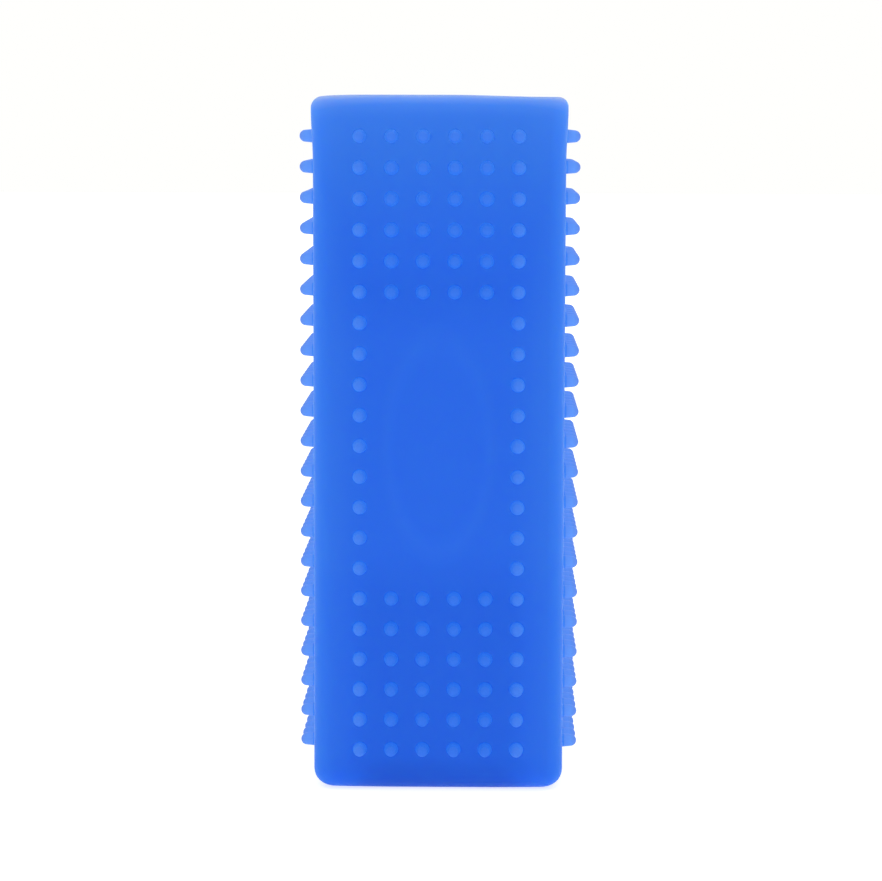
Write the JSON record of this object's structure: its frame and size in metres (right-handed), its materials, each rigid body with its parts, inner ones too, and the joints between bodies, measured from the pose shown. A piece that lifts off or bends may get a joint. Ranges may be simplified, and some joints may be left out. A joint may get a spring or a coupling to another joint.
{
  "type": "rubber curry brush",
  "caption": "Hollow square-section rubber curry brush with short flexible pins on all sides, a plain oval window in the front, a closed foot and an open mouth.",
  "frame": {"origin": "centre of the closed end's flat underside, which the brush stands on", "axes": "+Z along the brush's length from the closed end to the open mouth; the front side, with the plain window, faces -Y; +X is to the right seen from the front"},
  "size_m": [0.0504, 0.0504, 0.125],
  "materials": {
    "sleeve_rubber": "satin translucent",
    "pin_rubber": "satin translucent",
    "pad_rubber": "satin translucent"
  },
  "bodies": {
    "sleeve": {"front_wall": "sleeve_rubber", "right_wall": "sleeve_rubber", "back_wall": "sleeve_rubber", "left_wall": "sleeve_rubber", "end_wall": "sleeve_rubber", "mouth_lip": "sleeve_rubber", "oval_pad": "pad_rubber"},
    "front_pins_1": {"front_pins_1": "pin_rubber"},
    "front_pins_2": {"front_pins_2": "pin_rubber"},
    "front_pins_3": {"front_pins_3": "pin_rubber"},
    "front_pins_4": {"front_pins_4": "pin_rubber"},
    "front_pins_5": {"front_pins_5": "pin_rubber"},
    "front_pins_6": {"front_pins_6": "pin_rubber"},
    "right_pins_1": {"right_pins_1": "pin_rubber"},
    "right_pins_2": {"right_pins_2": "pin_rubber"},
    "right_pins_3": {"right_pins_3": "pin_rubber"},
    "right_pins_4": {"right_pins_4": "pin_rubber"},
    "right_pins_5": {"right_pins_5": "pin_rubber"},
    "right_pins_6": {"right_pins_6": "pin_rubber"},
    "back_pins_1": {"back_pins_1": "pin_rubber"},
    "back_pins_2": {"back_pins_2": "pin_rubber"},
    "back_pins_3": {"back_pins_3": "pin_rubber"},
    "back_pins_4": {"back_pins_4": "pin_rubber"},
    "back_pins_5": {"back_pins_5": "pin_rubber"},
    "back_pins_6": {"back_pins_6": "pin_rubber"},
    "left_pins_1": {"left_pins_1": "pin_rubber"},
    "left_pins_2": {"left_pins_2": "pin_rubber"},
    "left_pins_3": {"left_pins_3": "pin_rubber"},
    "left_pins_4": {"left_pins_4": "pin_rubber"},
    "left_pins_5": {"left_pins_5": "pin_rubber"},
    "left_pins_6": {"left_pins_6": "pin_rubber"}
  },
  "joints": [
    {"name": "front_pins_1_lean", "type": "hinge", "parent": "sleeve", "child": "front_pins_1", "pos_m": [-0.0141, -0.0225, 0.0627], "axis": [0, 0, 1], "range_deg": [-25, 25], "stiffness_Nm_per_rad": 0.1},
    {"name": "front_pins_2_lean", "type": "hinge", "parent": "sleeve", "child": "front_pins_2", "pos_m": [-0.00846, -0.0225, 0.0627], "axis": [0, 0, 1], "range_deg": [-25, 25], "stiffness_Nm_per_rad": 0.057},
    {"name": "front_pins_3_lean", "type": "hinge", "parent": "sleeve", "child": "front_pins_3", "pos_m": [-0.00282, -0.0225, 0.0627], "axis": [0, 0, 1], "range_deg": [-25, 25], "stiffness_Nm_per_rad": 0.057},
    {"name": "front_pins_4_lean", "type": "hinge", "parent": "sleeve", "child": "front_pins_4", "pos_m": [0.00282, -0.0225, 0.0627], "axis": [0, 0, 1], "range_deg": [-25, 25], "stiffness_Nm_per_rad": 0.057},
    {"name": "front_pins_5_lean", "type": "hinge", "parent": "sleeve", "child": "front_pins_5", "pos_m": [0.00846, -0.0225, 0.0627], "axis": [0, 0, 1], "range_deg": [-25, 25], "stiffness_Nm_per_rad": 0.057},
    {"name": "front_pins_6_lean", "type": "hinge", "parent": "sleeve", "child": "front_pins_6", "pos_m": [0.0141, -0.0225, 0.0627], "axis": [0, 0, 1], "range_deg": [-25, 25], "stiffness_Nm_per_rad": 0.1},
    {"name": "right_pins_1_lean", "type": "hinge", "parent": "sleeve", "child": "right_pins_1", "pos_m": [0.0225, -0.0141, 0.0627], "axis": [0, 0, 1], "range_deg": [-25, 25], "stiffness_Nm_per_rad": 0.1},
    {"name": "right_pins_2_lean", "type": "hinge", "parent": "sleeve", "child": "right_pins_2", "pos_m": [0.0225, -0.00846, 0.0627], "axis": [0, 0, 1], "range_deg": [-25, 25], "stiffness_Nm_per_rad": 0.1},
    {"name": "right_pins_3_lean", "type": "hinge", "parent": "sleeve", "child": "right_pins_3", "pos_m": [0.0225, -0.00282, 0.0627], "axis": [0, 0, 1], "range_deg": [-25, 25], "stiffness_Nm_per_rad": 0.1},
    {"name": "right_pins_4_lean", "type": "hinge", "parent": "sleeve", "child": "right_pins_4", "pos_m": [0.0225, 0.00282, 0.0627], "axis": [0, 0, 1], "range_deg": [-25, 25], "stiffness_Nm_per_rad": 0.1},
    {"name": "right_pins_5_lean", "type": "hinge", "parent": "sleeve", "child": "right_pins_5", "pos_m": [0.0225, 0.00846, 0.0627], "axis": [0, 0, 1], "range_deg": [-25, 25], "stiffness_Nm_per_rad": 0.1},
    {"name": "right_pins_6_lean", "type": "hinge", "parent": "sleeve", "child": "right_pins_6", "pos_m": [0.0225, 0.0141, 0.0627], "axis": [0, 0, 1], "range_deg": [-25, 25], "stiffness_Nm_per_rad": 0.1},
    {"name": "back_pins_1_lean", "type": "hinge", "parent": "sleeve", "child": "back_pins_1", "pos_m": [0.0141, 0.0225, 0.0627], "axis": [0, 0, 1], "range_deg": [-25, 25], "stiffness_Nm_per_rad": 0.1},
    {"name": "back_pins_2_lean", "type": "hinge", "parent": "sleeve", "child": "back_pins_2", "pos_m": [0.00846, 0.0225, 0.0627], "axis": [0, 0, 1], "range_deg": [-25, 25], "stiffness_Nm_per_rad": 0.1},
    {"name": "back_pins_3_lean", "type": "hinge", "parent": "sleeve", "child": "back_pins_3", "pos_m": [0.00282, 0.0225, 0.0627], "axis": [0, 0, 1], "range_deg": [-25, 25], "stiffness_Nm_per_rad": 0.1},
    {"name": "back_pins_4_lean", "type": "hinge", "parent": "sleeve", "child": "back_pins_4", "pos_m": [-0.00282, 0.0225, 0.0627], "axis": [0, 0, 1], "range_deg": [-25, 25], "stiffness_Nm_per_rad": 0.1},
    {"name": "back_pins_5_lean", "type": "hinge", "parent": "sleeve", "child": "back_pins_5", "pos_m": [-0.00846, 0.0225, 0.0627], "axis": [0, 0, 1], "range_deg": [-25, 25], "stiffness_Nm_per_rad": 0.1},
    {"name": "back_pins_6_lean", "type": "hinge", "parent": "sleeve", "child": "back_pins_6", "pos_m": [-0.0141, 0.0225, 0.0627], "axis": [0, 0, 1], "range_deg": [-25, 25], "stiffness_Nm_per_rad": 0.1},
    {"name": "left_pins_1_lean", "type": "hinge", "parent": "sleeve", "child": "left_pins_1", "pos_m": [-0.0225, 0.0141, 0.0627], "axis": [0, 0, 1], "range_deg": [-25, 25], "stiffness_Nm_per_rad": 0.1},
    {"name": "left_pins_2_lean", "type": "hinge", "parent": "sleeve", "child": "left_pins_2", "pos_m": [-0.0225, 0.00846, 0.0627], "axis": [0, 0, 1], "range_deg": [-25, 25], "stiffness_Nm_per_rad": 0.1},
    {"name": "left_pins_3_lean", "type": "hinge", "parent": "sleeve", "child": "left_pins_3", "pos_m": [-0.0225, 0.00282, 0.0627], "axis": [0, 0, 1], "range_deg": [-25, 25], "stiffness_Nm_per_rad": 0.1},
    {"name": "left_pins_4_lean", "type": "hinge", "parent": "sleeve", "child": "left_pins_4", "pos_m": [-0.0225, -0.00282, 0.0627], "axis": [0, 0, 1], "range_deg": [-25, 25], "stiffness_Nm_per_rad": 0.1},
    {"name": "left_pins_5_lean", "type": "hinge", "parent": "sleeve", "child": "left_pins_5", "pos_m": [-0.0225, -0.00846, 0.0627], "axis": [0, 0, 1], "range_deg": [-25, 25], "stiffness_Nm_per_rad": 0.1},
    {"name": "left_pins_6_lean", "type": "hinge", "parent": "sleeve", "child": "left_pins_6", "pos_m": [-0.0225, -0.0141, 0.0627], "axis": [0, 0, 1], "range_deg": [-25, 25], "stiffness_Nm_per_rad": 0.1}
  ]
}
